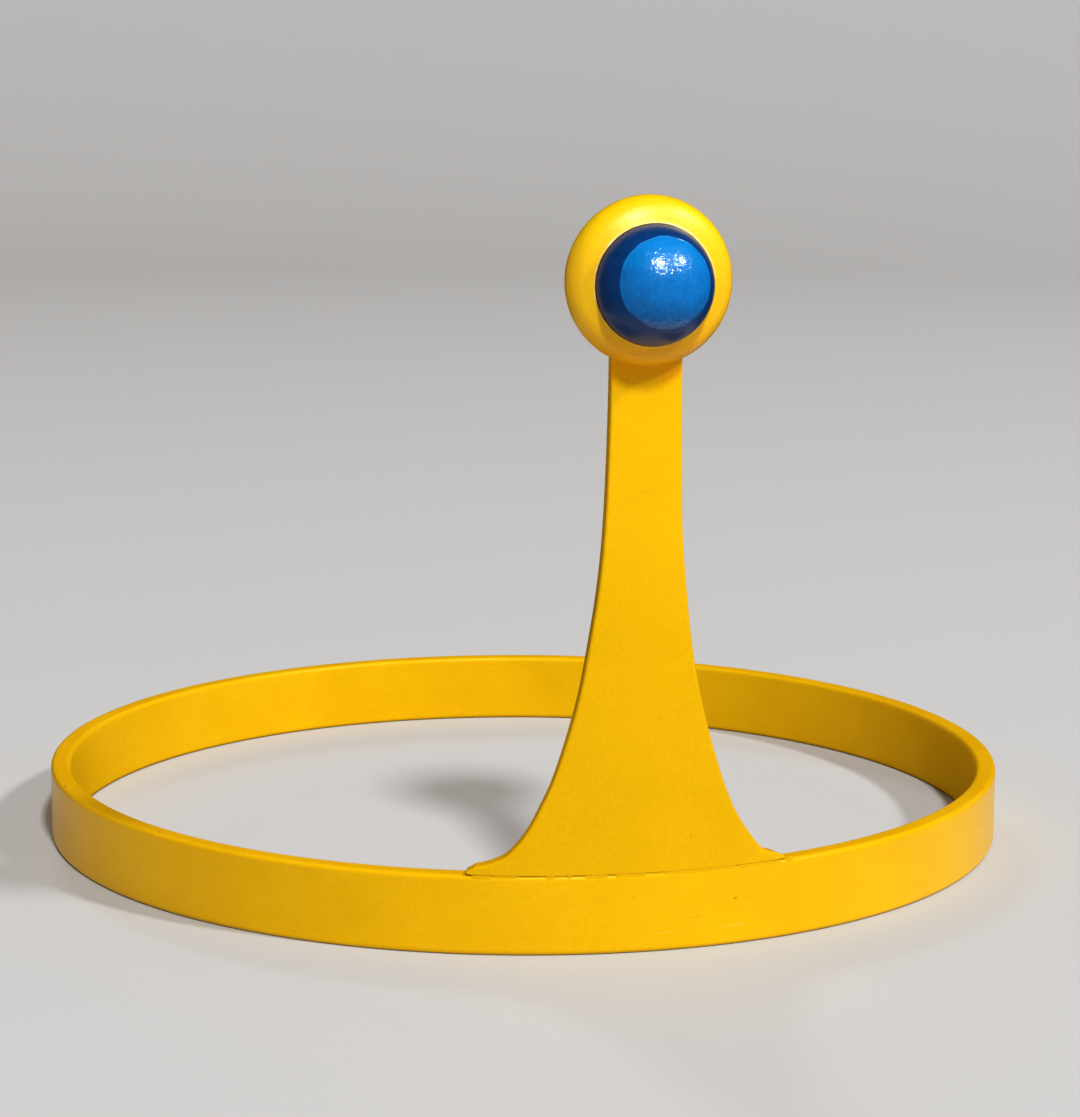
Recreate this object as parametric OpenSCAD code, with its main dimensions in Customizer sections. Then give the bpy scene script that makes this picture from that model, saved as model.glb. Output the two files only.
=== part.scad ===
// Costume crown: a plain hoop with one tall flared stem at the front.
// The stem carries a round knob, and the knob carries a blue domed jewel.
// Millimetres. The hoop's centre line is Z, its flat underside is at Z = 0,
// and the stem stands at the front, on the -Y side.

/* [Band] */
// Outer diameter of the hoop
band_d = 200; // [180:1:220]
// Wall thickness of the hoop
band_wall = 4.1; // [3:0.1:6]
// Height of the hoop
band_h = 15.1; // [12:0.1:24]
// Radius of the eased edges
band_edge_r = 0.6; // [0.3:0.1:1.2]

/* [Stem] */
// Thickness of the stem, from front to back
stem_t = 3.6; // [3:0.1:4]
// Height of the knob's centre above the hoop's top edge
knob_rise = 108.2; // [106:0.1:130]
// Length of the stem's end that is let into the knob
stem_let_in = 5; // [3:0.5:7]
// Reach of the stem's left toe along the hoop
toe_left = 31.8; // [30:0.1:36]
// Reach of the stem's right toe along the hoop
toe_right = 28.9; // [28:0.1:36]

/* [Knob] */
// Diameter of the round yellow knob
knob_d = 30.4; // [30:0.1:36]
// Depth of the knob from front to back
knob_depth = 13.9; // [13:0.1:16]
// Radius of the knob's rounded rim
knob_rim_r = 4.5; // [4:0.1:5]
// Distance of the knob's middle in front of the stem's middle
knob_front = 1.4; // [1:0.1:2]

/* [Jewel] */
// Diameter of the ball that the jewel is turned from
jewel_d = 21.5; // [18:0.1:23]
// Depth of the jewel's flat back behind the ball's centre
jewel_back = 0.7; // [0:0.1:1]
// Distance of the jewel's light dome in front of the ball's centre
dome_start = 7.1; // [6:0.1:8]
// Upward tilt of the dome, in degrees
dome_tilt = 6.5; // [0:0.5:10]
// Sideways turn of the dome, in degrees
dome_turn = 2; // [0:0.5:5]
// Distance that the jewel sits below the knob's centre
jewel_drop = 0.4; // [0:0.1:0.5]

/* [Hidden] */

// Gap left between pieces that are glued together
glue_gap = 0.1;
// Extra length of a cutting shape past the face that it cuts
cut_over = 1;
// Sides of the large circles, and of all the others
hoop_fn = 240;
$fn = 96;

// Side outline of the stem: columns are height above the hoop, reach to the left and to the right
RISE = 0;
LEFT = 1;
RIGHT = 2;
flare_rows = [
    [1.4, 30.3, 27],
    [1.8, 28.5, 25.6],
    [2.4, 26.8, 24.4],
    [3.4, 24.8, 23.2],
    [6, 22.3, 21.2],
    [9, 20.3, 19.2],
    [12, 18.8, 17.6],
    [17, 16.5, 15.6],
    [24.5, 14, 13.2],
    [33, 11.7, 11],
    [42, 10, 9.3],
    [53, 8.3, 8],
    [64, 7.3, 7.1],
    [78.5, 6.7, 6.8],
    [93, 6.4, 6.6],
];
flare_steps = 3;

// Rounded end of a toe: columns are distance back from its tip and height above the hoop
BACK = 0;
HEIGHT = 1;
toe_rows = [
    [0, 0],
    [0.25, 0.4],
    [0.9, 0.9],
];

// Distance of the jewel's flat seat in front of the stem's middle
seat_front = 4.9;

// Depth of the wedge that cuts the stem's sides
wedge_depth = 12;

// Sideways place of the knob's middle
knob_mid_x = 0.2;

band_r = band_d / 2;
band_inner_r = band_r - band_wall;
stem_mid_y = stem_t / 2 - band_r;
wedge_front = band_r + cut_over;
wedge_scale = [1 - wedge_depth / wedge_front, 1];
neck_row = flare_rows[len(flare_rows) - 1];
neck_half_w = (neck_row[LEFT] + neck_row[RIGHT]) / 2;
neck_mid_x = (neck_row[RIGHT] - neck_row[LEFT]) / 2;
knob_r = knob_d / 2;
knob_half = knob_depth / 2;
knob_y = stem_mid_y - knob_front;
knob_z = band_h + knob_rise;
neck_meets_knob = sqrt(pow(knob_r, 2) - pow(neck_half_w, 2));
stem_z_end = knob_z - neck_meets_knob + stem_let_in;
jewel_r = jewel_d / 2;
jewel_y = stem_mid_y - seat_front - glue_gap - jewel_back;
jewel_z = knob_z - jewel_drop;

// Smooth curve through the middle two of four rows
function between(a, b, c, d, t) =
    b + 0.5 * t * (c - a + t * (2 * a - 5 * b + 4 * c - d + t * (3 * (b - c) + d - a)));

function row_at(i) = flare_rows[max(0, min(len(flare_rows) - 1, i))];

function flare_points() = [
    for (i = [0 : len(flare_rows) - 2], step = [0 : flare_steps - 1])
        between(row_at(i - 1), row_at(i), row_at(i + 1), row_at(i + 2), step / flare_steps)
];

// One side of the stem from its toe to its top, as [reach, height]
function stem_side(toe, side) = concat(
    [for (row = toe_rows) [toe - row[BACK], row[HEIGHT]]],
    [for (row = flare_points()) [row[side], row[RISE]]],
    [[neck_row[side], stem_z_end - band_h - glue_gap]]
);

function flipped(points) = [for (i = [len(points) - 1 : -1 : 0]) [-points[i][0], points[i][1]]];

// Section of the hoop's wall, with eased edges
module band_section() {
    for (r = [band_inner_r + band_edge_r, band_r - band_edge_r], z = [band_edge_r, band_h - band_edge_r])
        translate([r, z])
            circle(r = band_edge_r);
    translate([band_inner_r, band_edge_r])
        square([band_wall, band_h - 2 * band_edge_r]);
    translate([band_inner_r + band_edge_r, 0])
        square([band_wall - 2 * band_edge_r, band_h]);
}

module band() {
    color("goldenrod")
        rotate_extrude($fn = hoop_fn)
            band_section();
}

// Curved sheet that follows the hoop's outer face, thicker by the margin on both sides
module curved_sheet(margin, z_low, z_high) {
    translate([0, 0, z_low])
        difference() {
            cylinder(r = band_r + margin, h = z_high - z_low, $fn = hoop_fn);
            translate([0, 0, -cut_over])
                cylinder(r = band_r - stem_t - margin, h = z_high - z_low + 2 * cut_over, $fn = hoop_fn);
        }
}

// Where the line from the hoop's centre to a place on its outer face meets the wedge's front
function fanned(reach) = wedge_front * reach / sqrt(pow(band_r, 2) - pow(reach, 2));

// The stem's sides are square to its curved sheet, so they run towards the hoop's centre
module stem() {
    outline = concat(stem_side(toe_right, RIGHT), flipped(stem_side(toe_left, LEFT)));
    color("orange")
        intersection() {
            curved_sheet(0, band_h, knob_z);
            translate([0, -wedge_front, band_h + glue_gap])
                rotate([90, 0, 0])
                    mirror([0, 0, 1])
                        linear_extrude(height = wedge_depth, scale = wedge_scale, slices = 1, segments = 1)
                            polygon([for (point = outline) [fanned(point[0]), point[1]]]);
        }
}

// Half section of the knob: a shallow lens with a rounded rim
module knob_section() {
    rim_x = knob_r - knob_rim_r;
    face_r = (pow(rim_x, 2) + pow(knob_half, 2) - pow(knob_rim_r, 2)) / (2 * (knob_half - knob_rim_r));
    face_drop = face_r - knob_half;
    join_x = rim_x + knob_rim_r * rim_x / (face_r - knob_rim_r);
    translate([rim_x, 0])
        intersection() {
            circle(r = knob_rim_r);
            translate([-rim_x, -knob_rim_r])
                square([knob_r, 2 * knob_rim_r]);
        }
    intersection() {
        translate([0, -face_drop])
            circle(r = face_r, $fn = hoop_fn);
        translate([0, face_drop])
            circle(r = face_r, $fn = hoop_fn);
        translate([0, -knob_half])
            square([join_x, knob_depth]);
    }
}

module knob() {
    color("gold")
        difference() {
            translate([knob_mid_x, knob_y, knob_z])
                rotate([90, 0, 0])
                    rotate_extrude()
                        knob_section();
            translate([0, stem_mid_y - seat_front, jewel_z])
                rotate([90, 0, 0])
                    cylinder(r = jewel_r + glue_gap, h = knob_depth);
            intersection() {
                curved_sheet(glue_gap, band_h, knob_z);
                translate([neck_mid_x - neck_half_w - glue_gap, -band_d, band_h])
                    cube([2 * (neck_half_w + glue_gap), band_d, stem_z_end - band_h + glue_gap]);
            }
        }
}

module jewel_ball() {
    translate([0, jewel_y, jewel_z])
        rotate([90, 0, 0])
            sphere(r = jewel_r);
}

// Space in front of a plane across the ball, tilted upwards and turned
module front_space(start) {
    translate([0, jewel_y, jewel_z])
        rotate([-dome_tilt, 0, dome_turn])
            translate([-jewel_d, -2 * jewel_d - start, -jewel_d])
                cube(2 * jewel_d);
}

module jewel_collar() {
    color("midnightblue")
        difference() {
            intersection() {
                jewel_ball();
                translate([-jewel_d, jewel_y + jewel_back - 2 * jewel_d, jewel_z - jewel_d])
                    cube(2 * jewel_d);
            }
            front_space(dome_start - glue_gap);
        }
}

module jewel_dome() {
    color("dodgerblue")
        intersection() {
            jewel_ball();
            front_space(dome_start);
        }
}

band();
stem();
knob();
jewel_collar();
jewel_dome();
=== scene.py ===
import math

import bmesh
import bpy
from mathutils import Matrix, Vector, noise


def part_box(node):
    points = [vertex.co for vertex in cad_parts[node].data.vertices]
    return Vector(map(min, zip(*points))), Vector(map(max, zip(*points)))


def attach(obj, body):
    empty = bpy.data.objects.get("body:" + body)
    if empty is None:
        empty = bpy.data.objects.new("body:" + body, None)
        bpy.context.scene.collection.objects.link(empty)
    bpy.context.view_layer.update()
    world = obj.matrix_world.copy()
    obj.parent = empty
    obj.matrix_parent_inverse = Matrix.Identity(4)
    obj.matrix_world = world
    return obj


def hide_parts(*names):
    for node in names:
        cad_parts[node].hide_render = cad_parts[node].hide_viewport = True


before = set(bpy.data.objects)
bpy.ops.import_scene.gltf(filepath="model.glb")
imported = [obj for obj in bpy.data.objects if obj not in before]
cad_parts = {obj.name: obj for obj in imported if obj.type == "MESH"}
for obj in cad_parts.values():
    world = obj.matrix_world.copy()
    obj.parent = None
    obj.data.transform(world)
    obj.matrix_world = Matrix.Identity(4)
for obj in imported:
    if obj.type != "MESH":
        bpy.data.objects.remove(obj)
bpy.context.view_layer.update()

MM = 0.001
BODY = "root"

# Sizes taken from the frame
band_low, band_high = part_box("band")
BAND_R = (band_high.x - band_low.x) / 2
BAND_H = band_high.z - band_low.z
knob_low, knob_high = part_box("knob")
KNOB_R = (knob_high.x - knob_low.x) / 2
collar_low, collar_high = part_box("jewel_collar")
JEWEL_R = (collar_high.x - collar_low.x) / 2
JEWEL_BACK_Y = collar_high.y
JEWEL_Z = (collar_high.z + collar_low.z) / 2

# Sizes that the boxes don't give, the same as in the part's source
BAND_WALL = 4.1 * MM
STEM_T = 3.6 * MM
STEM_MID_Y = STEM_T / 2 - BAND_R
KNOB_HALF = 6.95 * MM
KNOB_RIM = 4.5 * MM
KNOB_FRONT = 1.4 * MM
KNOB_Z = knob_high.z - KNOB_R
KNOB_CENTRE = Vector(((knob_low.x + knob_high.x) / 2, STEM_MID_Y - KNOB_FRONT, KNOB_Z))
JEWEL_SET_BACK = 0.7 * MM
DOME_START = 7.1 * MM
DOME_TILT = math.radians(6.5)
DOME_TURN = math.radians(2)
JEWEL_CENTRE = Vector((0, JEWEL_BACK_Y - JEWEL_SET_BACK, JEWEL_Z))
GLUE_GAP = 0.1 * MM

# Hand-made softness that the solids don't have
HOOP_EASE = 0.85 * MM
HOOP_WAVER = 0.06 * MM
STEM_EASE = 0.45 * MM
TIP_CURL = 0.35 * MM
TIP_LENGTH = 1.3 * MM
DOME_RIPPLE = 0.035 * MM

# The knob's lip of paint: how far it presses on the jewel, its width and how ragged it is
LIP_PRESS = 0.03 * MM
LIP_W = 0.36 * MM
LIP_RAGGED = 0.09 * MM
LIP_RAGGED_REACH = 0.3 * MM

# The knob's face is centred on the jewel: fully up to the first distance outside the jewel, and not at
# all within the second distance of the knob's outline
CENTRED_REACH = 0.6 * MM
STILL_RIM_W = 0.5 * MM

# Paint that fills the groove under the stem, in millimetres: left end, right end, top above the hoop
# and depth behind the hoop's face
GROOVE_FILLS = [
    (-24.8, 5.0, 0.17, 0.24),
    (-31.0, -26.8, 0.06, 0.03),
    (-27.2, -22.2, 0.36, 0.09),
    (-17.9, -15.5, 0.42, 0.05),
    (-15.9, -13.5, 0.34, 0.14),
    (-13.9, -12.6, 0.42, 0.05),
    (-10.7, -5.8, 0.42, 0.05),
    (-5.1, 1.4, 0.42, 0.05),
    (0.9, 4.6, 0.34, 0.14),
    (4.1, 18.9, 0.42, 0.05),
    (18.5, 28.3, 0.06, 0.03),
    (28.7, 30.9, 0.45, 0.05),
]

# Fineness of the meshes: steps round each piece, points of the hoop's section and of each of its
# corners, and points along the paint in the groove
HOOP_STEPS = 640
HOOP_SECTION_POINTS = 104
HOOP_CORNER_POINTS = 6
KNOB_STEPS = 180
COLLAR_STEPS = 160
DOME_STEPS = 220
FLOOR_STEPS = 96
GROOVE_POINTS_PER_MM = 6
GROOVE_POINTS_LEAST = 8

# Columns of the stem's mesh: distances from an edge, the most of the half width that they take up, and
# the count of steps between the two edges' columns
STEM_EDGE_COLUMNS = [step * MM for step in (0.0, 0.04, 0.12, 0.25, 0.42, 0.62)]
STEM_EDGE_SHARE = 0.4
STEM_MIDDLE_STEPS = 26

# Rows of the stem's mesh: steps between two heights of the CAD outline, and least distance of two rows
STEM_CURVE_STEPS = 6
STEM_ROW_STEP = 0.25 * MM

# How near the hoop's outer face a vertex is part of the stem's front, and how far up and down a point
# looks for its nearest edge
STEM_FACE_DEPTH = 0.2 * MM
STEM_EDGE_SEARCH = 2 * MM

# Radius of the small disc at a turned shape's middle
KNOB_POLE_R = 0.02 * MM
DOME_POLE_R = 0.01 * MM
FLOOR_POLE_R = 0.1 * MM

# The collar's front lies this far behind the dome, and its skin starts at this angle on the ball
COLLAR_CLEAR = 0.02 * MM
COLLAR_START = -40

# Radius of a ring of the mesh inside a flat end, as a share of the end's radius
INNER_RING = 0.5

# Width of the dome's edge that the ripple leaves alone
STILL_EDGE_W = 0.05 * MM

# Grains per metre of each noise
STROKES_ALONG = 110.0
STROKES_ACROSS = 1300.0
CLOUDS = 45.0
FLECKS = 1500.0
PEEL = 650.0
LIP_HIGHLIGHT_PATCHES = 320.0
LINE_WAVES = 330.0
JEWEL_PATCHES = 500.0
JEWEL_SPECKS = 1400.0
JEWEL_CALM = 260.0
HOOP_WAVES = 14.0
HOOP_WAVES_FINE = 90.0
GROOVE_WEAR = 420.0
LIP_WAVES = 700.0
DOME_WAVES = 900.0
DOME_WAVES_FINE = 2100.0

# Values between which a noise changes what it drives
CLOUD_SPAN = (0.35, 0.65)
ROUGH_SPAN = (0.3, 0.7)
THIN_SPAN = (0.30, 0.70)
LIP_PATCHY_SPAN = (0.38, 0.56)
PATCH_SPAN = (0.2, 0.8)
SPECK_SPAN = (0.45, 0.70)
CALM_SPAN = (0.40, 0.60)

# The golden paints: how much clouds and the painted light from above count where both do, how strongly the
# painted amber shade shows, brightness where the paint is thin and thick, and roughness from the smoothest
# place to the dullest
CLOUD_SHARE = 0.25
LIT_HEIGHT_SHARE = 0.75
SHADE_MOST = 0.75
BRIGHTNESS = (0.95, 1.03)
SATIN = (0.30, 0.38)
VARNISH_ROUGH = 0.42

# A small mark: its solid core and its ragged edge, as shares of its radius
MARK_CORE = 0.4
MARK_RAGGED = 1.4

# The painted highlight along the knob's lip of paint, brightest on top where the lip faces the lamps: where
# it has faded out, in widths of the lip, its strength where it is weakest, and the depth in front of the
# knob's middle over which it ends
LIP_FADE = 1.5
LIP_LEAST = 0.35
LIP_END_DEPTH = 2 * MM

# Bands of height in which a painted highlight, shade or reflection changes: the band's foot and top, as
# shares of the jewel's radius above its middle, and the strength at each
# Painted highlight: the lip brighter on top, where it faces the lamps
LIP_HIGHLIGHT_BY_HEIGHT = (-0.6, 0.8, 0.15, 0.85)
# Painted shade: the dome darker towards its underside
NAVY_SHADE_BELOW = (-0.9, 0.05, 0.62, 0.0)
# Painted light: the dome lighter towards its top, which faces the lamps
PALE_LIGHT_ABOVE = (0.15, 0.7, 0.0, 0.45)
# Painted reflection: the grey of the floor mirrored on the jewel's underside
FLOOR_REFLECTION_BELOW = (-0.95, -0.1, 0.40, 0.0)

# The line where the dome's light paint ends: how far it starts behind the dome's edge, how far it wanders,
# how wide its blur is below and above, and the foot and top of the band of height between them
LINE_BEHIND = 0.3 * MM
LINE_WANDER = 0.7 * MM
LINE_BLURRED = 1.5 * MM
LINE_CRISP = 0.35 * MM
LINE_BAND = (-0.8, -0.2)

# The enamel: strength of its palest specks, how much of the painted floor reflection is left on the dome,
# where the painted shade and grime in the crease at its back starts and is full, how strong it is and its
# roughness there, the calmest ripple, and the paint's part of the lacquer's ripple
SPECK_MOST = 0.25
FLOOR_REFLECTION_ON_DOME = 0.45
CREASE_SPAN = (-1.5 * MM, -0.6 * MM)
CREASE_MOST = 0.85
CREASE_ROUGH = 0.9
CALM_LEAST = 0.25
PAINT_RIPPLE = 0.25
LACQUER_ROUGH = 0.15

# Parts of the hoop's waver that come from wide and from fine waves, and the thickness of the groove's
# paint at its ends
WIDE_SHARE = 0.7
FINE_SHARE = 0.3
GROOVE_END_SHARE = 0.55

# The photograph's view
CAMERA_PLACE = Vector((-137.7, -622.8, 167.3)) * MM
CAMERA_TURN = math.radians(-12.76)
CAMERA_DIP = math.radians(9.86)
CAMERA_ROLL = math.radians(0.34)
CAMERA_LENS = 98.5
FILM_WIDTH = 36

# The stage: its lengths are in metres
LAMP_DISTANCE = 6
LAMP_TARGET = Vector((0, 0, 0.05))
NEAR_FLOOR_R = 0.155
FLAT_FLOOR_R = 1.5
BACKDROP_BEND_R = 1.6
BACKDROP_H = 1.7
ROOM_STRENGTH = 0.165

# Colours, as linear shares of red, green and blue
GOLDEN = (0.735, 0.422, 0.002)
GOLDEN_DEEP = (0.705, 0.395, 0.001)
NAVY = (0.004, 0.052, 0.190)
NAVY_DEEP = (0.003, 0.036, 0.140)
SKY_BLUE = (0.001, 0.175, 0.500)
SKY_BLUE_DEEP = (0.001, 0.140, 0.430)
# Used for the painted light on the dome's top as well as for its pale specks
SKY_BLUE_PALE = (0.004, 0.260, 0.680)
STEM_GOLDEN = (0.775, 0.436, 0.002)
STEM_GOLDEN_DEEP = (0.655, 0.372, 0.001)
# Painted shade: the deeper orange of shadow and yellow bounce light under the knob
AMBER_SHADE = (0.88, 0.37, 0.001)
KNOB_YELLOW = (0.87, 0.595, 0.003)
KNOB_YELLOW_DEEP = (0.86, 0.470, 0.001)
RUSTY = (0.30, 0.05, 0.01)
DULL_OCHRE = (0.42, 0.20, 0.01)
# Painted reflection: the grey of the pale floor seen in the jewel's underside
FLOOR_REFLECTION_GREY = (0.068, 0.078, 0.125)
# Painted shade with some grime: the crease where the jewel meets the knob's lip
CREASE_SHADE_AND_GRIME = (0.015, 0.010, 0.008)
PALE_YELLOW = (0.95, 0.62, 0.12)
# Painted highlight on the knob's lip round the jewel
LIP_HIGHLIGHT = (1.00, 0.82, 0.38)
WARM_GLOSS = (1.0, 0.85, 0.30)
FLOOR_PALE = (0.50, 0.515, 0.53)
ROOM_WARM = (1.0, 0.62, 0.30)

# Small marks in the paint: place in millimetres, stretch of each axis, radius in millimetres, colour
# and strength
EVEN = (1, 1, 1)
LEVEL_LINE = (0.12, 0.12, 1)
MARKS_ON_HOOP = [
    ((-83.2, -53.3, 15.1), EVEN, 0.40, RUSTY, 0.9),
    ((-98.0, -6.8, 15.1), (1, 0.25, 1), 0.28, RUSTY, 0.45),
    ((-98.2, -13.6, 15.1), (1, 0.2, 1), 0.28, RUSTY, 0.4),
    ((18.6, -98.3, 8.9), (0.5, 0.5, 1), 0.32, RUSTY, 0.45),
    ((-1.4, -100.0, 10.4), EVEN, 0.55, DULL_OCHRE, 0.2),
    ((18.7, -98.2, 3.7), LEVEL_LINE, 0.4, PALE_YELLOW, 0.15),
    ((4.8, -99.9, 3.6), LEVEL_LINE, 0.3, PALE_YELLOW, 0.12),
    ((82.9, -56.0, 7.0), (0.3, 0.3, 1), 0.4, PALE_YELLOW, 0.5),
    ((10.6, -99.5, 6.0), LEVEL_LINE, 0.3, DULL_OCHRE, 0.12),
]
MARKS_ON_STEM = [
    ((9.4, -99.6, 21.6), EVEN, 0.42, DULL_OCHRE, 0.5),
    ((3.3, -99.9, 44.0), EVEN, 0.40, DULL_OCHRE, 0.3),
    ((0.5, -100.0, 85.5), LEVEL_LINE, 0.3, DULL_OCHRE, 0.12),
]


def connect(tree, socket, value):
    """Links an output to an input, or sets the input to a plain value."""
    if isinstance(value, bpy.types.NodeSocket):
        tree.links.new(value, socket)
    else:
        socket.default_value = value


def node_in(tree, kind, **settings):
    """A new node with its properties set."""
    made = tree.nodes.new(kind)
    for name, value in settings.items():
        setattr(made, name, value)
    return made


def feed(tree, node, **inputs):
    """Sets a node's inputs by name, spaces written as underscores, to a value or an output."""
    for name, value in inputs.items():
        connect(tree, node.inputs[name.replace("_", " ")], value)
    return node


def feed_first(tree, node, values):
    """Sets a node's first inputs, in their order, to values or outputs."""
    for socket, value in zip(node.inputs, values):
        connect(tree, socket, value)


def maths(tree, operation, *values):
    """A Math node's output for one to three values or outputs."""
    made = node_in(tree, "ShaderNodeMath", operation=operation)
    feed_first(tree, made, values)
    return made.outputs[0]


def vector_maths(tree, operation, *values):
    """A Vector Math node's vector output for the given values or outputs."""
    made = node_in(tree, "ShaderNodeVectorMath", operation=operation)
    feed_first(tree, made, values)
    return made.outputs["Vector"]


def vector_measure(tree, operation, *values):
    """A Vector Math node's output where it is a number: a length or a dot product."""
    made = node_in(tree, "ShaderNodeVectorMath", operation=operation)
    feed_first(tree, made, values)
    return made.outputs["Value"]


def parts_of(tree, vector):
    """The X, Y and Z outputs of a vector."""
    made = node_in(tree, "ShaderNodeSeparateXYZ")
    return feed(tree, made, Vector=vector).outputs


def vector_of(tree, **parts):
    """A vector's output from its X, Y and Z, where a part left out is zero."""
    made = node_in(tree, "ShaderNodeCombineXYZ")
    return feed(tree, made, **parts).outputs[0]


def noise_of(tree, vector, scale, detail=4.0, roughness=0.55, distortion=0.0):
    """A noise texture's grey output, from 0 to 1."""
    made = node_in(tree, "ShaderNodeTexNoise")
    feed(tree, made, Vector=vector, Scale=scale, Detail=detail)
    feed(tree, made, Roughness=roughness, Distortion=distortion)
    return made.outputs[0]


def ramp(tree, value, low, high, to_low=0.0, to_high=1.0):
    """Maps low..high smoothly to the two given results."""
    made = node_in(tree, "ShaderNodeMapRange", interpolation_type="SMOOTHSTEP")
    feed(tree, made, Value=value, From_Min=low, From_Max=high, To_Min=to_low, To_Max=to_high)
    return made.outputs[0]


def blend_colours(tree, share, first, second, mode="MIX"):
    """Mixes two colours, each a plain colour or an output, by a share that is a value or an output."""
    made = node_in(tree, "ShaderNodeMix", data_type="RGBA", blend_type=mode)
    for place, value in ((0, share), (6, first), (7, second)):
        connect(tree, made.inputs[place], (*value, 1.0) if isinstance(value, tuple) else value)
    return made.outputs[2]


def brush_vectors(tree, centre, axis):
    """Object coordinates, and a squeezed copy in which noise runs round an axis as brush strokes do."""
    place = node_in(tree, "ShaderNodeTexCoord").outputs["Object"]
    parts = parts_of(tree, vector_maths(tree, "SUBTRACT", place, centre))
    first, second = (parts[i] for i in range(3) if i != axis)
    reach = vector_measure(tree, "LENGTH", vector_of(tree, X=first, Y=second))
    squeezed = vector_of(
        tree,
        X=maths(tree, "MULTIPLY", first, STROKES_ALONG),
        Y=maths(tree, "MULTIPLY", second, STROKES_ALONG),
        Z=maths(tree, "MULTIPLY", maths(tree, "ADD", parts[axis], reach), STROKES_ACROSS),
    )
    return place, squeezed


def new_material(name):
    """An empty node material with its shader."""
    material = bpy.data.materials.new(name)
    material.use_nodes = True
    tree = material.node_tree
    shader = tree.nodes["Principled BSDF"]
    return material, tree, shader


def shade_by_height(tree, height, band, middle=0.0):
    """A value that changes with the height above the jewel's middle, as a band says."""
    low, high, at_low, at_high = band
    return ramp(tree, height, middle + low * JEWEL_R, middle + high * JEWEL_R, at_low, at_high)


def lip_highlight_share(tree, place, width):
    """How strongly the knob's paint shows its painted highlight on the lip round the jewel: weak below,
    where the lip faces away from the lamps, none behind.
    """
    parts = parts_of(tree, place)
    away = vector_maths(tree, "SUBTRACT", place, JEWEL_CENTRE)
    reach = vector_measure(tree, "LENGTH", vector_maths(tree, "MULTIPLY", away, (1, 0, 1)))
    line = ramp(tree, reach, JEWEL_R + width, JEWEL_R + LIP_FADE * width, 1.0, 0.0)
    upper = shade_by_height(tree, parts["Z"], LIP_HIGHLIGHT_BY_HEIGHT, middle=JEWEL_Z)
    patchy = ramp(tree, noise_of(tree, place, LIP_HIGHLIGHT_PATCHES, detail=2.0), *LIP_PATCHY_SPAN, LIP_LEAST, 1.0)
    ahead = ramp(tree, parts["Y"], KNOB_CENTRE.y - LIP_END_DEPTH, KNOB_CENTRE.y, 1.0, 0.0)
    shown = maths(tree, "MULTIPLY", line, upper)
    return maths(tree, "MULTIPLY", shown, maths(tree, "MULTIPLY", patchy, ahead))


def mark_share(tree, place, fleck, spot, stretch, radius, strength):
    """How strongly a small ragged mark shows at a place."""
    away = vector_maths(tree, "MULTIPLY", vector_maths(tree, "SUBTRACT", place, spot), stretch)
    reach = vector_measure(tree, "LENGTH", away)
    wobble = maths(tree, "MULTIPLY", maths(tree, "SUBTRACT", fleck, 0.5), radius * MARK_RAGGED)
    return ramp(tree, maths(tree, "ADD", reach, wobble), radius * MARK_CORE, radius, strength, 0.0)


def brushed_paint(
    name, colour, deep, centre=(0, 0, 0), axis=2, marks=(), strokes=0.12, relief=0.05 * MM,
    lit_between=None, shaded_between=None, shine=0.32, varnish=0.0, lip=0.0,
):
    """Smooth satin paint put on with a small brush: faint strokes in rings round an axis, soft clouds.

    Painted light makes the paint lighter up between the first pair of heights given, where the lamps above
    light it more, and painted shade turns it amber between the second pair, where the knob's shadow and
    yellow bounce light fall.
    Marks are in millimetres, and lip is the width of the painted highlight round the jewel.
    """
    material, tree, shader = new_material(name)
    place, round_axis = brush_vectors(tree, centre, axis)
    streak = noise_of(tree, round_axis, 1.0, detail=4.0, roughness=0.6)
    cloud = noise_of(tree, place, CLOUDS, detail=3.0, roughness=0.6)
    fleck = noise_of(tree, place, FLECKS, detail=3.0, roughness=0.7)
    height = parts_of(tree, place)["Z"]
    tone_and_light = ramp(tree, cloud, *CLOUD_SPAN)
    # Painted light: the paint gets lighter up towards the top, where the lamps above light it more
    if lit_between:
        upper = ramp(tree, height, *lit_between, 0.0, LIT_HEIGHT_SHARE)
        tone_and_light = maths(tree, "MULTIPLY_ADD", tone_and_light, CLOUD_SHARE, upper)
    tint = blend_colours(tree, tone_and_light, deep, colour)
    # Painted shade: amber where the knob's shadow and yellow bounce light fall
    if shaded_between:
        tint = blend_colours(tree, ramp(tree, height, *shaded_between, 0.0, SHADE_MOST), tint, AMBER_SHADE)
    uneven = maths(tree, "MULTIPLY_ADD", maths(tree, "SUBTRACT", streak, fleck), strokes, fleck)
    bright = ramp(tree, uneven, *THIN_SPAN, *BRIGHTNESS)
    grey = vector_of(tree, X=bright, Y=bright, Z=bright)
    tint = blend_colours(tree, 1.0, tint, grey, mode="MULTIPLY")
    for spot, stretch, radius, spot_colour, strength in marks:
        share = mark_share(tree, place, fleck, Vector(spot) * MM, stretch, radius * MM, strength)
        tint = blend_colours(tree, share, tint, spot_colour)
    # Painted highlight on the lip round the jewel, where it catches the lamps
    if lip:
        tint = blend_colours(tree, lip_highlight_share(tree, place, lip), tint, LIP_HIGHLIGHT)
    rough = ramp(tree, cloud, *ROUGH_SPAN, *SATIN)
    peel = noise_of(tree, place, PEEL, detail=2.0)
    film = maths(tree, "MULTIPLY_ADD", maths(tree, "SUBTRACT", streak, peel), strokes, peel)
    bump = node_in(tree, "ShaderNodeBump")
    feed(tree, bump, Strength=0.5, Distance=relief, Height=film)
    feed(tree, shader, Base_Color=tint, Roughness=rough, Normal=bump.outputs[0])
    feed(tree, shader, Specular_IOR_Level=shine, Specular_Tint=(*WARM_GLOSS, 1.0))
    feed(tree, shader, Coat_Weight=varnish, Coat_Roughness=VARNISH_ROUGH)
    return material


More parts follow.
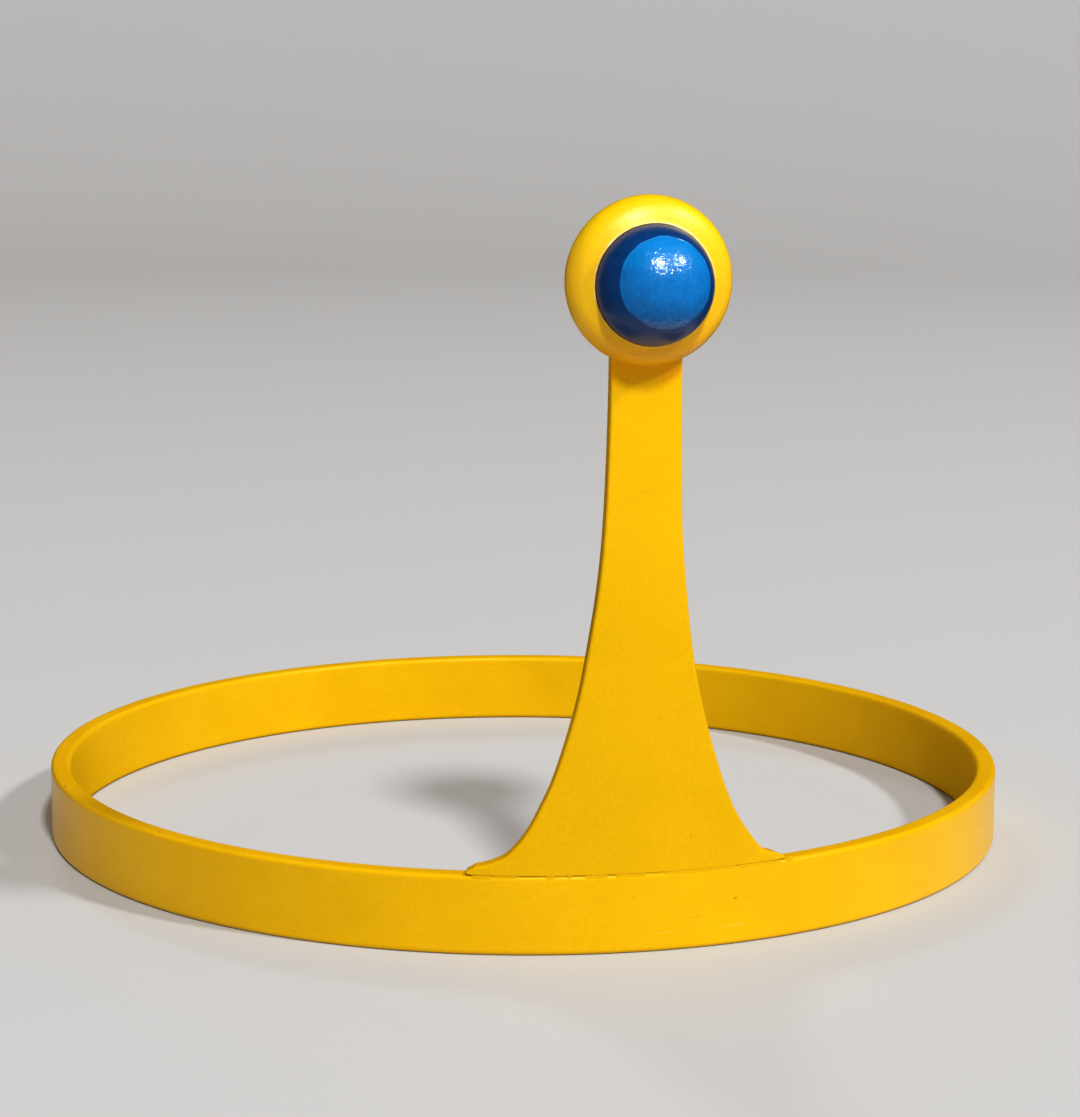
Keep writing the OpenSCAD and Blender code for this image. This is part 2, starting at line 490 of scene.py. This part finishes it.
def dome_share(tree, place, away, height):
    """How far a point lies in the light dome's paint, which ends in a wavy line, blurred below."""
    ahead = vector_measure(tree, "DOT_PRODUCT", away, dome_forward())
    uneven = maths(tree, "SUBTRACT", noise_of(tree, place, LINE_WAVES, detail=3.0), 0.5)
    wave = maths(tree, "MULTIPLY", uneven, LINE_WANDER)
    start = DOME_START - LINE_BEHIND
    end = shade_by_height(tree, height, (*LINE_BAND, start + LINE_BLURRED, start + LINE_CRISP))
    return ramp(tree, maths(tree, "ADD", ahead, wave), start, end)


def jewel_paint(name, rough, ripple, ripple_size, shine, gloss):
    """Thick glossy enamel, dark on the jewel's side, light on its dome, with painted shade below and
    painted light above on the dome, a painted grey reflection of the floor on the underside, and painted
    shade with some grime in the crease at the back.
    """
    material, tree, shader = new_material(name)
    place = node_in(tree, "ShaderNodeTexCoord").outputs["Object"]
    away = vector_maths(tree, "SUBTRACT", place, JEWEL_CENTRE)
    parts = parts_of(tree, away)
    height = parts["Z"]
    patch = ramp(tree, noise_of(tree, place, JEWEL_PATCHES, detail=3.0, roughness=0.6), *PATCH_SPAN)
    dark = blend_colours(tree, patch, NAVY_DEEP, NAVY)
    light = blend_colours(tree, patch, SKY_BLUE_DEEP, SKY_BLUE)
    # Painted shade: the dome's paint darkens to navy below
    light = blend_colours(tree, shade_by_height(tree, height, NAVY_SHADE_BELOW), light, NAVY)
    # Painted light: the dome's paint lightens towards its top
    light = blend_colours(tree, shade_by_height(tree, height, PALE_LIGHT_ABOVE), light, SKY_BLUE_PALE)
    speck = ramp(tree, noise_of(tree, place, JEWEL_SPECKS, detail=2.0), *SPECK_SPAN, 0.0, SPECK_MOST)
    light = blend_colours(tree, speck, light, SKY_BLUE_PALE)
    lit = dome_share(tree, place, away, height)
    tint = blend_colours(tree, lit, dark, light)
    # Painted reflection of the floor: grey on the jewel's underside, weaker on the dome
    reflection_kept = ramp(tree, lit, 0.0, 1.0, 1.0, FLOOR_REFLECTION_ON_DOME)
    floor_reflection_share = maths(tree, "MULTIPLY", shade_by_height(tree, height, FLOOR_REFLECTION_BELOW), reflection_kept)
    tint = blend_colours(tree, floor_reflection_share, tint, FLOOR_REFLECTION_GREY)
    # Painted shade with some grime: the crease at the jewel's back, darkened towards the knob
    crease = ramp(tree, parts["Y"], *CREASE_SPAN, 0.0, CREASE_MOST)
    tint = blend_colours(tree, crease, tint, CREASE_SHADE_AND_GRIME)
    matt = ramp(tree, crease, 0.0, CREASE_MOST, rough, CREASE_ROUGH)
    wave = noise_of(tree, place, 1.0 / ripple_size, detail=1.0, roughness=0.5, distortion=0.2)
    calm = ramp(tree, noise_of(tree, place, JEWEL_CALM, detail=1.0), *CALM_SPAN, CALM_LEAST, 1.0)
    wave = maths(tree, "MULTIPLY", maths(tree, "SUBTRACT", wave, 0.5), calm)
    paint = node_in(tree, "ShaderNodeBump")
    feed(tree, paint, Strength=1.0, Distance=PAINT_RIPPLE * ripple, Height=wave)
    lacquer = node_in(tree, "ShaderNodeBump")
    feed(tree, lacquer, Strength=1.0, Distance=ripple, Height=wave)
    feed(tree, shader, Base_Color=tint, Roughness=matt, Normal=paint.outputs[0])
    feed(tree, shader, Coat_Weight=gloss, Coat_Roughness=LACQUER_ROUGH, Coat_Normal=lacquer.outputs[0])
    feed(tree, shader, Specular_IOR_Level=shine)
    return material


def plain_floor(name, colour):
    """Matt pale paper for the floor."""
    material, tree, shader = new_material(name)
    feed(tree, shader, Base_Color=(*colour, 1.0), Roughness=0.85)
    return material


def mesh_object(name, mesh, material, smooth_angle=40):
    """Puts a mesh in the scene as a smooth-shaded object with one material."""
    made = bpy.data.objects.new(name, mesh)
    bpy.context.scene.collection.objects.link(made)
    mesh.materials.clear()
    mesh.materials.append(material)
    mesh.shade_smooth()
    if smooth_angle:
        mesh.set_sharp_from_angle(angle=math.radians(smooth_angle))
    return made


def mesh_from_rings(name, rows, close_ends=True):
    """A skin over rings of points that all have the same count, closed at its two ends or left open."""
    shape = bmesh.new()
    rings = [[shape.verts.new(point) for point in row] for row in rows]
    count = len(rings[0])
    for low, high in zip(rings, rings[1:]):
        for i in range(count):
            after = (i + 1) % count
            shape.faces.new((low[i], low[after], high[after], high[i]))
    if close_ends:
        for ring in (rings[0], rings[-1]):
            middle = shape.verts.new(sum((v.co for v in ring), Vector()) / count)
            for i in range(count):
                shape.faces.new((ring[i], ring[(i + 1) % count], middle))
    bmesh.ops.recalc_face_normals(shape, faces=shape.faces)
    mesh = bpy.data.meshes.new(name)
    shape.to_mesh(mesh)
    shape.free()
    return mesh


def turned_rows(profile, centre, forward, around, relief=None):
    """Rings of a turned shape: profile is (reach from the axis, distance forward), pole to pole."""
    turn = forward.to_track_quat("Z", "Y")
    rows = []
    for reach, ahead in profile:
        row = []
        for i in range(around):
            angle = math.tau * i / around
            point = Vector((reach * math.cos(angle), reach * math.sin(angle), ahead))
            place = centre + turn @ point
            if relief:
                place = relief(place, reach, ahead)
            row.append(place)
        rows.append(row)
    return rows


def arc(centre_r, centre_a, radius, start, end, steps):
    """Points of an arc in a profile, at angles in degrees from the axis of reach."""
    points = []
    for i in range(steps + 1):
        angle = math.radians(start + (end - start) * i / steps)
        points.append((centre_r + radius * math.cos(angle), centre_a + radius * math.sin(angle)))
    return points


def smooth_through(points, steps):
    """A smooth open curve through the points, with that many steps between each two."""
    made = []
    last = len(points) - 1
    for i in range(last):
        a, b, c, d = (Vector(points[max(0, min(last, i + k))]) for k in (-1, 0, 1, 2))
        for step in range(steps):
            t = step / steps
            bent = c - a + (2 * a - 5 * b + 4 * c - d) * t + (3 * (b - c) + d - a) * t * t
            made.append(b + bent * t * 0.5)
    made.append(Vector(points[last]))
    return made


def node_tree_with(name, inputs):
    """A geometry tree with named inputs for its sizes. Returns the tree and its input node."""
    tree = bpy.data.node_groups.new(name, "GeometryNodeTree")
    tree.interface.new_socket("Geometry", in_out="OUTPUT", socket_type="NodeSocketGeometry")
    tree.interface.new_socket("Geometry", in_out="INPUT", socket_type="NodeSocketGeometry")
    for label, kind in inputs:
        tree.interface.new_socket(label, in_out="INPUT", socket_type="NodeSocket" + kind)
    return tree, tree.nodes.new("NodeGroupInput")


def finish_tree(tree, geometry, material):
    """Ends a geometry tree with real geometry and its material."""
    real = tree.nodes.new("GeometryNodeRealizeInstances")
    tree.links.new(geometry, real.inputs[0])
    coat = tree.nodes.new("GeometryNodeSetMaterial")
    tree.links.new(real.outputs[0], coat.inputs["Geometry"])
    tree.links.new(material, coat.inputs["Material"])
    out = tree.nodes.new("NodeGroupOutput")
    tree.links.new(coat.outputs[0], out.inputs[0])


def grown(name, tree, values, material):
    """Runs a geometry tree on an empty mesh and keeps the result as a plain mesh object."""
    seed = bpy.data.objects.new(name + "_seed", bpy.data.meshes.new(name + "_seed"))
    bpy.context.scene.collection.objects.link(seed)
    modifier = seed.modifiers.new("grow", "NODES")
    modifier.node_group = tree
    for item in tree.interface.items_tree:
        if item.in_out == "INPUT" and item.name in values:
            modifier[item.identifier] = values[item.name]
    graph = bpy.context.evaluated_depsgraph_get()
    mesh = bpy.data.meshes.new_from_object(seed.evaluated_get(graph))
    bpy.data.objects.remove(seed)
    mesh.name = name
    return mesh_object(name, mesh, material)


def hoop_tree():
    """The hoop: a rounded section swept round a circle, with a slight hand-made waver."""
    labels = ("Outer Radius", "Wall", "Height", "Edge Radius", "Waver")
    inputs = [(label, "Float") for label in labels] + [("Material", "Material")]
    tree, given = node_tree_with("hoop", inputs)
    size = given.outputs
    section = tree.nodes.new("GeometryNodeCurvePrimitiveQuadrilateral")
    feed(tree, section, Width=size["Wall"], Height=size["Height"])
    eased = node_in(tree, "GeometryNodeFilletCurve", mode="POLY")
    feed(tree, eased, Curve=section.outputs[0], Count=HOOP_CORNER_POINTS, Radius=size["Edge Radius"])
    even = tree.nodes.new("GeometryNodeResampleCurve")
    feed(tree, even, Curve=eased.outputs[0], Count=HOOP_SECTION_POINTS)
    middle = maths(tree, "SUBTRACT", size["Outer Radius"], maths(tree, "MULTIPLY", size["Wall"], 0.5))
    path = tree.nodes.new("GeometryNodeCurvePrimitiveCircle")
    feed(tree, path, Resolution=HOOP_STEPS, Radius=middle)
    swept = tree.nodes.new("GeometryNodeCurveToMesh")
    feed(tree, swept, Curve=path.outputs[0], Profile_Curve=even.outputs[0])
    lift = vector_of(tree, Z=maths(tree, "MULTIPLY", size["Height"], 0.5))
    raised = tree.nodes.new("GeometryNodeSetPosition")
    feed(tree, raised, Geometry=swept.outputs[0], Offset=lift)
    where = tree.nodes.new("GeometryNodeInputPosition").outputs[0]
    wide = noise_of(tree, where, HOOP_WAVES, detail=2.0)
    fine = noise_of(tree, where, HOOP_WAVES_FINE, detail=3.0)
    wide_part = maths(tree, "MULTIPLY", wide, WIDE_SHARE)
    depth = maths(tree, "ADD", wide_part, maths(tree, "MULTIPLY", fine, FINE_SHARE))
    inward = maths(tree, "MULTIPLY", maths(tree, "MULTIPLY", depth, size["Waver"]), -1.0)
    normal = tree.nodes.new("GeometryNodeInputNormal").outputs[0]
    step = node_in(tree, "ShaderNodeVectorMath", operation="SCALE")
    feed(tree, step, Vector=normal, Scale=inward)
    waved = tree.nodes.new("GeometryNodeSetPosition")
    feed(tree, waved, Geometry=raised.outputs[0], Offset=step.outputs[0])
    finish_tree(tree, waved.outputs[0], size["Material"])
    return tree


def make_hoop(material):
    """The hoop that goes on the head."""
    sizes = {
        "Outer Radius": BAND_R,
        "Wall": BAND_WALL,
        "Height": BAND_H,
        "Edge Radius": HOOP_EASE,
        "Waver": HOOP_WAVER,
        "Material": material,
    }
    return grown("painted_hoop", hoop_tree(), sizes, material)


def groove_tree():
    """Paint in a stretch of the groove between hoop and stem, uneven and thinner towards both ends."""
    labels = ("Face Radius", "Top", "Start", "Sweep", "Depth", "Height", "Taper", "Wear")
    inputs = [(label, "Float") for label in labels] + [("Points", "Int"), ("Material", "Material")]
    tree, given = node_tree_with("groove_paint", inputs)
    size = given.outputs
    block = tree.nodes.new("GeometryNodeCurvePrimitiveQuadrilateral")
    feed(tree, block, Width=size["Depth"], Height=size["Height"])
    middle_r = maths(tree, "SUBTRACT", size["Face Radius"], maths(tree, "MULTIPLY", size["Depth"], 0.5))
    path = tree.nodes.new("GeometryNodeCurveArc")
    feed(tree, path, Resolution=size["Points"], Radius=middle_r)
    feed(tree, path, Start_Angle=size["Start"], Sweep_Angle=size["Sweep"])
    from_start = tree.nodes.new("GeometryNodeSplineParameter").outputs["Length"]
    whole = maths(tree, "MULTIPLY", size["Sweep"], middle_r)
    from_end = maths(tree, "MINIMUM", from_start, maths(tree, "SUBTRACT", whole, from_start))
    ends = ramp(tree, from_end, 0.0, size["Taper"], GROOVE_END_SHARE, 1.0)
    where = tree.nodes.new("GeometryNodeInputPosition").outputs[0]
    patchy = maths(tree, "MULTIPLY", noise_of(tree, where, GROOVE_WEAR, detail=3.0), size["Wear"])
    thickness = maths(tree, "SUBTRACT", ends, patchy)
    strip = tree.nodes.new("GeometryNodeCurveToMesh")
    feed(tree, strip, Curve=path.outputs[0], Profile_Curve=block.outputs[0])
    feed(tree, strip, Scale=thickness, Fill_Caps=True)
    lift = vector_of(tree, Z=maths(tree, "MULTIPLY_ADD", size["Height"], -0.5, size["Top"]))
    raised = tree.nodes.new("GeometryNodeSetPosition")
    feed(tree, raised, Geometry=strip.outputs[0], Offset=lift)
    finish_tree(tree, raised.outputs[0], size["Material"])
    return tree


def joined(name, parts, material):
    """Joins finished pieces into one and removes them."""
    shape = bmesh.new()
    for part in parts:
        shape.from_mesh(part.data)
        bpy.data.objects.remove(part)
    mesh = bpy.data.meshes.new(name)
    shape.to_mesh(mesh)
    shape.free()
    return mesh_object(name, mesh, material)


def make_joint_paint(material):
    """All the stretches of paint in the groove between hoop and stem."""
    tree = groove_tree()
    parts = []
    for left, right, top, behind in GROOVE_FILLS:
        start, end = turn_at(left * MM), turn_at(right * MM)
        sizes = {
            "Face Radius": BAND_R - behind * MM,
            "Top": BAND_H + top * MM,
            "Start": start,
            "Sweep": end - start,
            "Depth": 1.1 * MM,
            "Height": 1.2 * MM,
            "Taper": 0.5 * MM,
            "Wear": 0.10,
            "Points": max(GROOVE_POINTS_LEAST, round((right - left) * GROOVE_POINTS_PER_MM)),
            "Material": material,
        }
        parts.append(grown("groove_fill", tree, sizes, material))
    return joined("joint_paint", parts, material)


def turn_at(x):
    """The angle round the hoop, from the right-hand side, of a place at x on its front."""
    return math.asin(x / BAND_R) - math.pi / 2


def stem_outline():
    """The stem's outline on its front face, as (height, left x, right x), from the frame's mesh."""
    widths = {}
    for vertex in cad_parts["stem"].data.vertices:
        place = vertex.co
        if place.xy.length > BAND_R - STEM_FACE_DEPTH:
            key = round(place.z / MM, 2)
            left, right = widths.get(key, (0.0, 0.0))
            widths[key] = (min(left, place.x), max(right, place.x))
    return [(key * MM, *widths[key]) for key in sorted(widths) if widths[key][0] < 0 < widths[key][1]]


def stem_rows(outline):
    """Heights and widths of the stem, closely spaced at the toes and evenly above them."""
    bends = smooth_through(outline, STEM_CURVE_STEPS)
    made = [bends[0]]
    for row in bends[1:]:
        moved = max(abs(row.z - made[-1].z), abs(row.y - made[-1].y), row.x - made[-1].x)
        if moved > STEM_ROW_STEP:
            made.append(row)
    return made


def edge_distance(x, z, edges):
    """Shortest distance from a point of the stem's face to the given pieces of its outline."""
    best = math.inf
    for a, b in edges:
        run = b - a
        t = max(0.0, min(1.0, (Vector((x, z)) - a).dot(run) / run.length_squared))
        best = min(best, (a + run * t - Vector((x, z))).length)
    return best


def ease_depth(distance):
    """How far the stem's rounded edge falls back at that distance from the edge."""
    if distance >= STEM_EASE:
        return 0.0
    return STEM_EASE - math.sqrt(STEM_EASE ** 2 - (STEM_EASE - distance) ** 2)


def tip_lift(x, left, right):
    """How far the toes' tips curl up off the hoop."""
    from_tip = min(x - left, right - x)
    return TIP_CURL * max(0.0, 1 - from_tip / TIP_LENGTH) ** 2


def on_sheet(x, z, depth):
    """A point that far behind the hoop's outer face at x and z, towards the hoop's centre line."""
    share = 1 - depth / BAND_R
    return Vector((x * share, -math.sqrt(BAND_R ** 2 - x ** 2) * share, z))


def stem_columns(left, right):
    """Places across the stem, from its left edge to its right, closely spaced near both edges."""
    steps = [min(step, (right - left) / 2 * STEM_EDGE_SHARE) for step in STEM_EDGE_COLUMNS]
    inner = steps[-1]
    span = right - left - 2 * inner
    middle = [left + inner + span * i / STEM_MIDDLE_STEPS for i in range(1, STEM_MIDDLE_STEPS)]
    return [left + step for step in steps] + middle + [right - step for step in reversed(steps)]


def skin_between(shape, first, second):
    """Faces between two lines of vertices that have the same count."""
    for i in range(len(first) - 1):
        shape.faces.new((first[i], first[i + 1], second[i + 1], second[i]))


def make_stem(material):
    """The stem: a curved sheet with rounded edges, wide toes and a straight neck."""
    rows = stem_rows(stem_outline())
    sides = []
    for pick in (1, 2):
        line = [Vector((row[pick], row[0])) for row in rows]
        sides.append(list(zip(line, line[1:])))
    _, toe_left, toe_right = rows[0]
    shape = bmesh.new()
    skins = []
    for front in (True, False):
        grid = []
        for z, left, right in rows:
            line = []
            for x in stem_columns(left, right):
                edges = sides[0] if x < (left + right) / 2 else sides[1]
                close = [edge for edge in edges if abs(edge[0].y - z) < STEM_EDGE_SEARCH]
                depth = ease_depth(edge_distance(x, z, close))
                raised = z + tip_lift(x, toe_left, toe_right)
                line.append(shape.verts.new(on_sheet(x, raised, depth if front else STEM_T - depth)))
            grid.append(line)
        skins.append(grid)
        for low, high in zip(grid, grid[1:]):
            skin_between(shape, low, high)
    front_grid, back_grid = skins
    for side in (0, -1):
        skin_between(shape, [line[side] for line in front_grid], [line[side] for line in back_grid])
    for end in (0, -1):
        skin_between(shape, front_grid[end], back_grid[end])
    bmesh.ops.recalc_face_normals(shape, faces=shape.faces)
    mesh = bpy.data.meshes.new("stem_sheet")
    shape.to_mesh(mesh)
    shape.free()
    return mesh_object("painted_stem", mesh, material, smooth_angle=50)


def centre_on_jewel(place, reach, ahead):
    """Shifts the knob's face so that its seat is centred on the jewel, and leaves its rim alone."""
    if ahead < 0:
        return place
    seat_r, still_r = JEWEL_R + CENTRED_REACH, KNOB_R - STILL_RIM_W
    share = max(0.0, min(1.0, (still_r - reach) / (still_r - seat_r)))
    moved = place + Vector((JEWEL_CENTRE.x - KNOB_CENTRE.x, 0, JEWEL_CENTRE.z - KNOB_CENTRE.z)) * share
    if abs(reach - JEWEL_R) < LIP_RAGGED_REACH:
        moved.y += noise.noise(place * LIP_WAVES) * LIP_RAGGED
    return moved


def make_knob(material):
    """The knob: a shallow lens with a rounded rim and a thin lip of paint that closes on the jewel."""
    rim_at = KNOB_R - KNOB_RIM
    face_r = (rim_at ** 2 + KNOB_HALF ** 2 - KNOB_RIM ** 2) / (2 * (KNOB_HALF - KNOB_RIM))
    face_drop = face_r - KNOB_HALF
    join = math.degrees(math.atan2(face_drop, rim_at))
    seat_r = JEWEL_R - LIP_PRESS
    lip_end = math.degrees(math.acos((seat_r + LIP_W) / face_r))
    back = arc(0, face_drop, face_r, -90, -join, steps=30)
    rim = arc(rim_at, 0, KNOB_RIM, -join, join, steps=40)[1:]
    front = arc(0, -face_drop, face_r, join, lip_end, steps=14)[1:]
    top = front[-1][1]
    bead = arc(seat_r + LIP_W / 2, top, LIP_W / 2, 0, 180, steps=8)[1:]
    seat_depth = KNOB_CENTRE.y - JEWEL_BACK_Y - GLUE_GAP
    profile = back + rim + front + bead + [(seat_r, seat_depth), (seat_r * INNER_RING, seat_depth)]
    profile[0] = (KNOB_POLE_R, profile[0][1])
    ahead = Vector((0, -1, 0))
    rows = turned_rows(profile, KNOB_CENTRE, ahead, around=KNOB_STEPS, relief=centre_on_jewel)
    return mesh_object("painted_knob", mesh_from_rings("knob_body", rows), material, smooth_angle=60)


def dome_forward():
    """The way the jewel's light dome faces."""
    level = math.cos(DOME_TILT)
    return Vector((level * math.sin(DOME_TURN), -level * math.cos(DOME_TURN), math.sin(DOME_TILT)))


def make_collar(material):
    """The jewel's dark part: a zone of a ball, flat at the back and under the dome."""
    front_at = DOME_START - COLLAR_CLEAR
    dome_edge = math.degrees(math.asin(front_at / JEWEL_R))
    front_r = JEWEL_R * math.cos(math.radians(dome_edge))
    profile = arc(0, 0, JEWEL_R, COLLAR_START, dome_edge, steps=60)
    profile.append((front_r * INNER_RING, front_at))
    rows = turned_rows(profile, JEWEL_CENTRE, dome_forward(), around=COLLAR_STEPS)
    mesh = mesh_from_rings("collar_body", rows)
    shape = bmesh.new()
    shape.from_mesh(mesh)
    everything = shape.verts[:] + shape.edges[:] + shape.faces[:]
    cut = bmesh.ops.bisect_plane(
        shape, geom=everything, plane_co=(0, JEWEL_BACK_Y, 0), plane_no=(0, 1, 0), clear_outer=True
    )
    edges = [item for item in cut["geom_cut"] if isinstance(item, bmesh.types.BMEdge)]
    bmesh.ops.contextual_create(shape, geom=edges)
    bmesh.ops.recalc_face_normals(shape, faces=shape.faces)
    shape.to_mesh(mesh)
    shape.free()
    return mesh_object("jewel_dark_collar", mesh, material, smooth_angle=50)


def dome_ripple(place, reach, ahead):
    """Pushes a point of the dome in by the ripple of its thick paint, and leaves its edge alone."""
    if ahead < DOME_START + STILL_EDGE_W:
        return place
    fine = noise.noise(place * DOME_WAVES_FINE + Vector((3, 1, 2)))
    wave = noise.noise(place * DOME_WAVES) + 0.5 * fine
    inward = (JEWEL_CENTRE - place).normalized()
    return place + inward * DOME_RIPPLE * (1 + max(-1.0, min(1.0, wave)))


def make_dome(material):
    """The jewel's light dome: a cap of the same ball under a rippled coat."""
    edge = math.degrees(math.asin(DOME_START / JEWEL_R))
    profile = arc(0, 0, JEWEL_R, edge, 90, steps=70)
    profile[-1] = (DOME_POLE_R, profile[-1][1])
    profile = [(profile[0][0] * INNER_RING, DOME_START)] + profile
    rows = turned_rows(profile, JEWEL_CENTRE, dome_forward(), around=DOME_STEPS, relief=dome_ripple)
    return mesh_object("jewel_light_dome", mesh_from_rings("dome_body", rows), material, smooth_angle=50)


def dress(piece, node):
    """Hides the CAD node that a finished piece stands for, and attaches the piece to its body."""
    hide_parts(node)
    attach(piece, BODY)


def make_camera():
    """The camera at the photograph's viewing angle."""
    data = bpy.data.cameras.new("photo_view")
    data.lens = CAMERA_LENS
    data.sensor_width = FILM_WIDTH
    data.clip_start = 0.01
    camera = bpy.data.objects.new("photo_view", data)
    bpy.context.scene.collection.objects.link(camera)
    level = Matrix.Rotation(math.radians(90) - CAMERA_DIP, 4, "X")
    turned = Matrix.Rotation(CAMERA_TURN, 4, "Z")
    rolled = Matrix.Rotation(CAMERA_ROLL, 4, "Z")
    camera.matrix_world = Matrix.Translation(CAMERA_PLACE) @ turned @ level @ rolled
    bpy.context.scene.camera = camera


def set_tones():
    """Plain colours with a little more contrast, as in the photograph."""
    bpy.context.scene.view_settings.view_transform = "Standard"
    bpy.context.scene.view_settings.look = "Medium High Contrast"


def soft_light(name, turn, height, size, power, mirrored=True):
    """A round soft light that faces the crown, at a turn from the front and a height in degrees."""
    data = bpy.data.lights.new(name, "AREA")
    data.shape = "DISK"
    data.size = size
    data.energy = power
    lamp = bpy.data.objects.new(name, data)
    lamp.visible_glossy = mirrored
    bpy.context.scene.collection.objects.link(lamp)
    turn, height = math.radians(turn), math.radians(height)
    level = math.cos(height)
    way = Vector((math.sin(turn) * level, -math.cos(turn) * level, math.sin(height)))
    facing = way.to_track_quat("Z", "Y").to_matrix().to_4x4()
    lamp.matrix_world = Matrix.Translation(LAMP_TARGET + way * LAMP_DISTANCE) @ facing


def make_stage(material):
    """A pale floor that sweeps up into a round backdrop. Gloss mirrors only the floor near the crown."""
    under_hoop = BAND_R - BAND_WALL / 2
    flat, bend = FLAT_FLOOR_R, BACKDROP_BEND_R
    sweep = [(NEAR_FLOOR_R, 0.0), (flat * 0.5, 0.0), (flat, 0.0)]
    sweep += [(flat + r, a + bend) for r, a in arc(0, 0, bend, -90, 0, steps=24)[1:]]
    sweep.append((flat + bend, BACKDROP_H))
    profiles = {
        "floor_inside": [(FLOOR_POLE_R, 0.0), (under_hoop, 0.0)],
        "floor_near": [(under_hoop, 0.0), (NEAR_FLOOR_R, 0.0)],
        "floor_sweep": sweep,
    }
    for name, profile in profiles.items():
        rows = turned_rows(profile, Vector(), Vector((0, 0, 1)), around=FLOOR_STEPS)
        mesh = mesh_from_rings(name, rows, close_ends=False)
        floor = mesh_object(name, mesh, material, smooth_angle=0)
        floor.visible_glossy = name == "floor_near"


def make_world():
    """Even warm light from all round, as from a lit room."""
    world = bpy.data.worlds.new("soft_room")
    bpy.context.scene.world = world
    world.use_nodes = True
    world.cycles_visibility.glossy = False
    sky = world.node_tree.nodes["Background"]
    sky.inputs["Color"].default_value = (*ROOM_WARM, 1.0)
    sky.inputs["Strength"].default_value = ROOM_STRENGTH


set_tones()
make_camera()
make_world()
soft_light("front_light", turn=3, height=44.5, size=0.60, power=246)
soft_light("right_light", turn=53, height=42.5, size=0.60, power=172)
soft_light("back_light", turn=180, height=32, size=1.20, power=62, mirrored=False)
make_stage(plain_floor("floor_paper", FLOOR_PALE))

hoop_paint = brushed_paint("golden_hoop_paint", GOLDEN, GOLDEN_DEEP, marks=MARKS_ON_HOOP, strokes=0.3)
stem_paint = brushed_paint(
    "golden_stem_paint", STEM_GOLDEN, STEM_GOLDEN_DEEP, marks=MARKS_ON_STEM,
    # Painted light: lighter towards the top of the stem
    lit_between=(30 * MM, 100 * MM),
    # Painted shade: amber on the stem just under the knob, where its shadow falls
    shaded_between=(103.2 * MM, 107.5 * MM),
)
knob_paint = brushed_paint(
    "yellow_knob_paint", KNOB_YELLOW, KNOB_YELLOW_DEEP, centre=KNOB_CENTRE, axis=1,
    # The painted highlight on the lip round the jewel is this wide
    strokes=0.4, relief=0.32 * MM, shine=0.45, varnish=0.6, lip=0.32 * MM,
    # Painted light: lighter on the knob's upper face, which faces the lamps
    lit_between=(KNOB_Z - 0.1 * KNOB_R, KNOB_Z + 0.9 * KNOB_R),
    # Painted shade: amber on the knob's underside
    shaded_between=(KNOB_Z - 0.3 * KNOB_R, KNOB_Z - 0.9 * KNOB_R),
)
navy_gloss = jewel_paint(
    "dark_blue_enamel", rough=0.36, ripple=0.05 * MM, ripple_size=1.6 * MM, shine=0.2, gloss=0.15
)
blue_gloss = jewel_paint(
    "blue_crinkle_enamel", rough=0.28, ripple=0.19 * MM, ripple_size=0.65 * MM, shine=0.5, gloss=0.7
)

dress(make_hoop(hoop_paint), "band")
dress(make_stem(stem_paint), "stem")
dress(make_joint_paint(stem_paint), "stem")
dress(make_knob(knob_paint), "knob")
dress(make_collar(navy_gloss), "jewel_collar")
dress(make_dome(blue_gloss), "jewel_dome")
